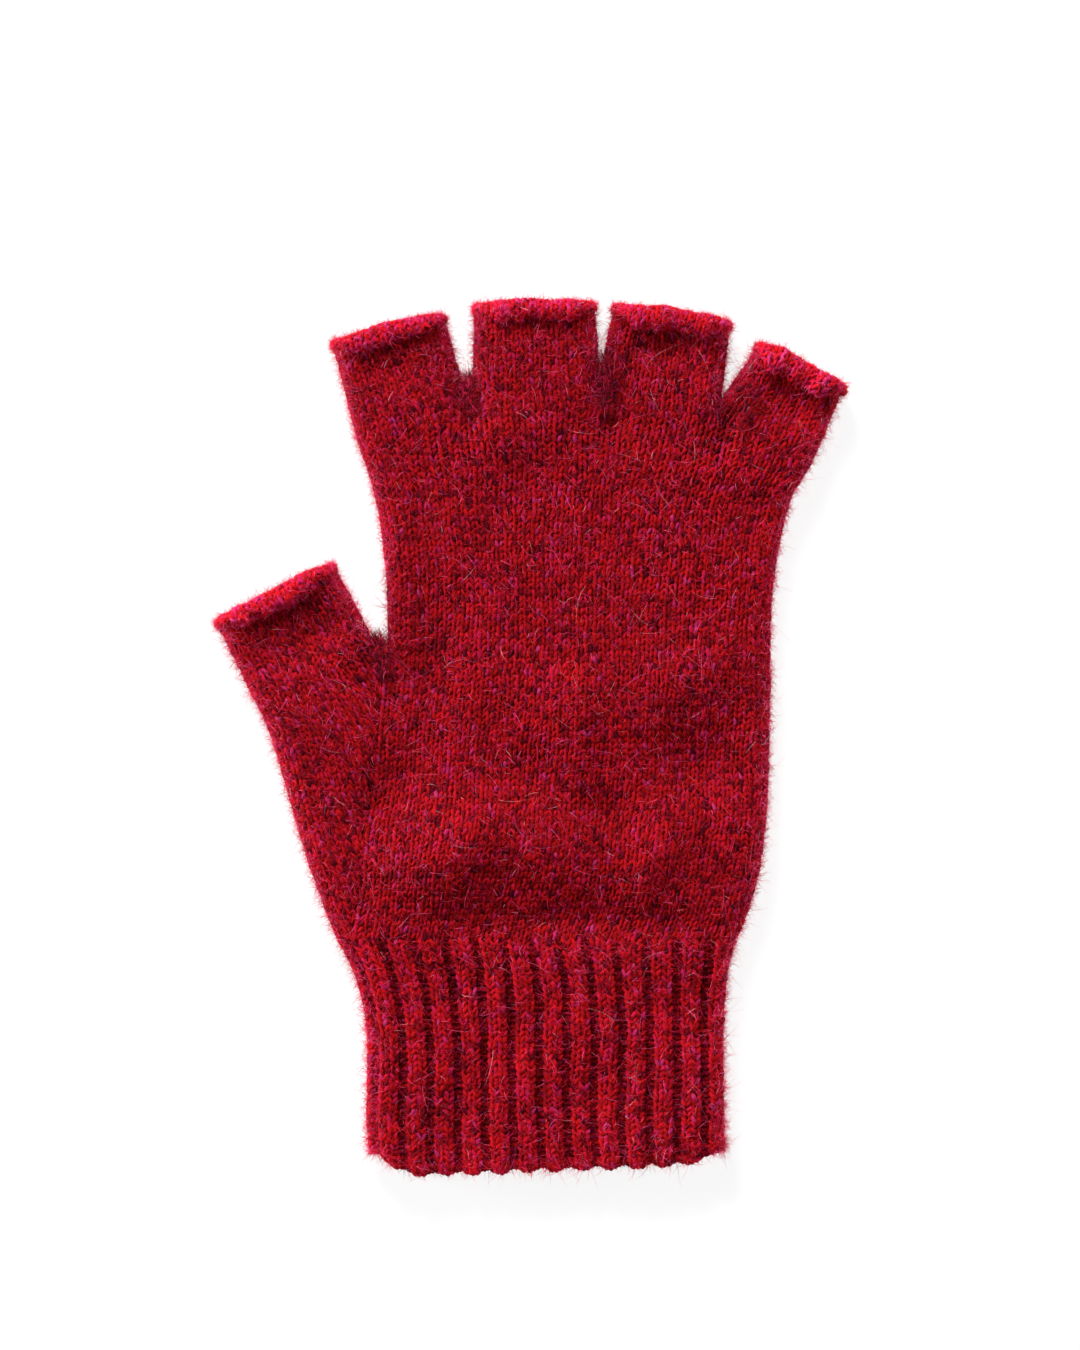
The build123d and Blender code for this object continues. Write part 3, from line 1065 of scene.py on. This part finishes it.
def knit_cast_on_edge():
    """The scalloped rim: wraps of yarn over the edge from the upper side of the fabric to its inside."""
    tube = cuff_tube
    count = RIBS * 6  # six wraps to a rib
    column = np.arange(count)
    v0 = np.full((count, 1), hem_y + 0.9)
    s = tube.girth(v0) * column[:, None] / count
    turn = np.linspace(-0.9, math.pi + 0.6, LOOP_POINTS)[None, :]
    # The wraps reach 0.8 below the rim, and their two ends run 2.2 up into the fabric
    along = v0 + rng.normal(0, 0.12, (count, 1)) + np.where(np.sin(turn) < 0, -2.2, -0.8) * np.sin(turn)
    height = 0.85 * np.cos(turn) - 0.6
    slant = np.linspace(-0.7, 0.7, LOOP_POINTS)[None, :]
    round_s = s + slant + rng.normal(0, 0.15, (count, 1))
    path = tube.place(round_s, along, height)
    inward = tube.place(round_s, v0 + 0.9 + 0 * along, -0.6 + 0 * height)
    radius = YARN * 1.3 * (1 + rng.normal(0, 0.12, (count, 1))) * np.ones_like(height)
    knit = Knit()
    shades = yarn_shades(np.zeros(count), column, LOOP_POINTS)
    knit.add(path, path - inward, radius, shades, np.full_like(radius, 0.9))
    rides_on(knit.build("cast_on_edge_knit", [RIB]), "cuff")
    ends = (hem_y + 0.6, hem_y + 1.6)
    core = make_core("cast_on_edge_backing", tube, *ends, everywhere, columns=RIBS * 12, rows=3, outer=0.0)
    rides_on(core, "cuff", ["cast_on_edge"])
    fuzz = Fuzz()
    add_fuzz(fuzz, tube, hem_y + 0.1, hem_y + 1.6, amount=2.0)
    rides_on(fuzz.build("cast_on_edge_fuzz"), "cuff")


# ---------- webs and yarn tails


class Slit:
    """Places fibres in a slit by height, by the distance out of its end and by the distance to its side."""

    def __init__(self, end, forward, across):
        self.end, self.forward, self.across = end, forward, across

    def place(self, s, v, c):
        plan = self.end + v[:, None] * self.forward + c[:, None] * self.across
        return np.column_stack([plan, s])


def knit_web(name, heading, reach):
    """Bridging stitches at the end of a slit: a few wraps of yarn from the upper side over to the lower.
    Fuzz of dark fibres, painted shade, fills the slit beyond them, and thins out."""
    points = node_points(name)
    low, high = points.min(axis=0), points.max(axis=0)
    centre = np.array([(low[0] + high[0]) / 2, high[1]])
    forward = np.array([math.sin(math.radians(heading)), math.cos(math.radians(heading))])
    across = np.array([forward[1], -forward[0]])
    wraps, spacing = 4, 0.85
    turn = np.linspace(-1.9, 1.9, LOOP_POINTS)[None, :]
    offset = (np.arange(wraps) - (wraps - 1) / 2)[:, None] * spacing
    ahead = 2.6 * np.cos(turn) - 0.6 + rng.normal(0, 0.2, (wraps, 1))
    side = offset + 0.35 * np.sin(turn * 1.5) + rng.normal(0, 0.1, (wraps, 1))
    z = MIDDLE + (MIDDLE - 1.2) * np.sin(np.clip(turn, -1.57, 1.57)) + 0 * ahead
    plan = centre + ahead[..., None] * forward + side[..., None] * across
    path = np.concatenate([plan, z[..., None]], axis=2)
    upward = np.sin(turn)[..., None] + 0 * plan[..., :1]
    normal = np.concatenate([np.broadcast_to(forward, plan.shape), upward], axis=2)
    knit = Knit()
    # Painted shade: the web's yarn is darkened, by a lower shade and by a near value of 0.6, for the shade at
    # the bottom of the slit.
    shades = yarn_shades(np.arange(wraps), np.arange(wraps), LOOP_POINTS) * 0.6
    knit.add(path, normal, np.full(z.shape, YARN * 0.95), shades, np.full(z.shape, 0.6))
    rides_on(knit.build(name + "_stitches", [PLAIN]), "hand", [name])
    slit = Slit(centre, forward, across)
    fuzz = Fuzz()
    for per_mm, size, rings in ((300, 2.2, 3), (90, 3.4, 4)):
        count = int(per_mm * reach)
        s = MIDDLE + rng.normal(0, 1.8, count)
        v = reach * (1 - rng.random(count) ** 0.55) - 0.5
        root = rng.normal(0, 0.4 + 0.1 * np.maximum(v, 0))
        length = size * (0.6 + 0.8 * rng.random(count))
        lift, radius = rng.normal(0, 0.7, count), np.full(count, 0.058)
        fuzz.add(slit, s, v, root, length, lift, radius, rings, SHADED_KINDS)
    rides_on(fuzz.build(name + "_fuzz"), "hand")


def spin_tail(name, body):
    """A woven-in end: two plies twisted along the CAD tail's own line."""
    points = node_points(name)
    low, high = points.min(axis=0), points.max(axis=0)
    spread = points - points.mean(axis=0)
    direction = np.linalg.svd(spread[:: max(1, len(spread) // 500)], full_matrices=False)[2][0]
    reach = (points - points.mean(axis=0)) @ direction
    rings, turns_per_mm, swing_radius, ply = 60, 0.36, 0.36, 0.42
    upright = np.array([0, 0, 1.0])
    share = np.linspace(reach.min() + 0.5, reach.max() - 0.5, rings)
    beside = np.cross(direction, upright)
    beside /= np.linalg.norm(beside)
    middle = (low + high) / 2
    path, normal = [], []
    for phase in (0.0, math.pi):
        angle = share * 2 * math.pi * turns_per_mm + phase
        swing = swing_radius * (np.cos(angle)[:, None] * beside + np.sin(angle)[:, None] * upright)
        path.append(middle + share[:, None] * direction + swing)
        normal.append(swing)
    knit = Knit()
    shades = rng.random((2, 1)) * 0.6 + 0.2 + 0.15 * np.sin(share / 1.3)[None, :]
    radius, near = np.full((2, rings), ply), np.full((2, rings), 0.9)
    knit.add(np.array(path), np.array(normal) + 1e-6, radius, shades, near)
    rides_on(knit.build(name + "_yarn", [PLAIN]), body, [name])


# ---------- stage, camera


def set_stage():
    """A white floor that glows a little, a key light from beyond the fingers, weaker lights from both sides
    and above, and a dim white surround."""
    reach = 3.0
    mesh = bpy.data.meshes.new("floor")
    corners = [(-reach, -reach, 0), (reach, -reach, 0), (reach, reach, 0), (-reach, reach, 0)]
    mesh.from_pydata(corners, [], [(0, 1, 2, 3)])
    floor = bpy.data.objects.new("floor", mesh)
    bpy.context.scene.collection.objects.link(floor)
    paper = Nodes("white_paper")
    paper.set(Base_Color=(0.2, 0.2, 0.2, 1.0), Roughness=0.9)
    paper.set(Emission_Color=(1.0, 1.0, 1.0, 1.0), Emission_Strength=0.88)
    mesh.materials.append(paper.material)

    world = bpy.data.worlds.new("surround")
    world.use_nodes = True
    world.node_tree.nodes["Background"].inputs["Color"].default_value = (1.0, 1.0, 1.0, 1.0)
    world.node_tree.nodes["Background"].inputs["Strength"].default_value = 0.12
    bpy.context.scene.world = world

    for name, place, width, energy in (
        ("key_light", (-0.7, 2.3, 1.5), 0.9, 99.0),
        ("left_light", (-2.0, 0.4, 0.3), 0.8, 57.0),
        ("right_light", (2.0, 0.4, 0.3), 0.8, 20.0),
        ("fill_light", (0.4, 0.2, 2.6), 1.2, 4.0),
    ):
        lamp = bpy.data.lights.new(name, "AREA")
        lamp.size = width
        lamp.energy = energy
        light = bpy.data.objects.new(name, lamp)
        light.location = place
        aim = -np.array(place)
        light.rotation_euler = (
            math.atan2(math.hypot(aim[0], aim[1]), -aim[2]),
            0.0,
            math.atan2(aim[1], aim[0]) - math.pi / 2,
        )
        bpy.context.scene.collection.objects.link(light)


def set_camera():
    """Straight above the glove, with the fingers at the top of the upright picture."""
    frame_height = 0.3096  # of the floor that the picture shows, in metres
    distance = 1.3
    centre = (cad_low + cad_high) / 2
    lens = bpy.data.cameras.new("camera")
    lens.sensor_width = 36.0
    lens.lens = lens.sensor_width * distance / frame_height
    camera = bpy.data.objects.new("camera", lens)
    right, up = 0.0024, 0.0141  # how far the picture's middle lies from the glove's
    camera.location = (centre.x + right, centre.y + up, distance)
    bpy.context.scene.collection.objects.link(camera)
    bpy.context.scene.camera = camera


# ---------- build

bpy.context.scene.view_settings.view_transform = "Standard"
set_stage()
set_camera()
knit_hand_above_thumb()
knit_hand_below_thumb()
for finger in FINGERS:
    knit_finger(finger)
    spin_tail(finger + "_yarn_tail", finger)
knit_cuff()
knit_cast_on_edge()
spin_tail("cuff_yarn_tail", "cuff")
for web, heading, reach in (
    ("index_middle_web", -7, 10.0),
    ("middle_ring_web", 4, 14.0),
    ("ring_little_web", 18, 13.0),
    ("thumb_web", -14, 10.0),
):
    knit_web(web, heading, reach)
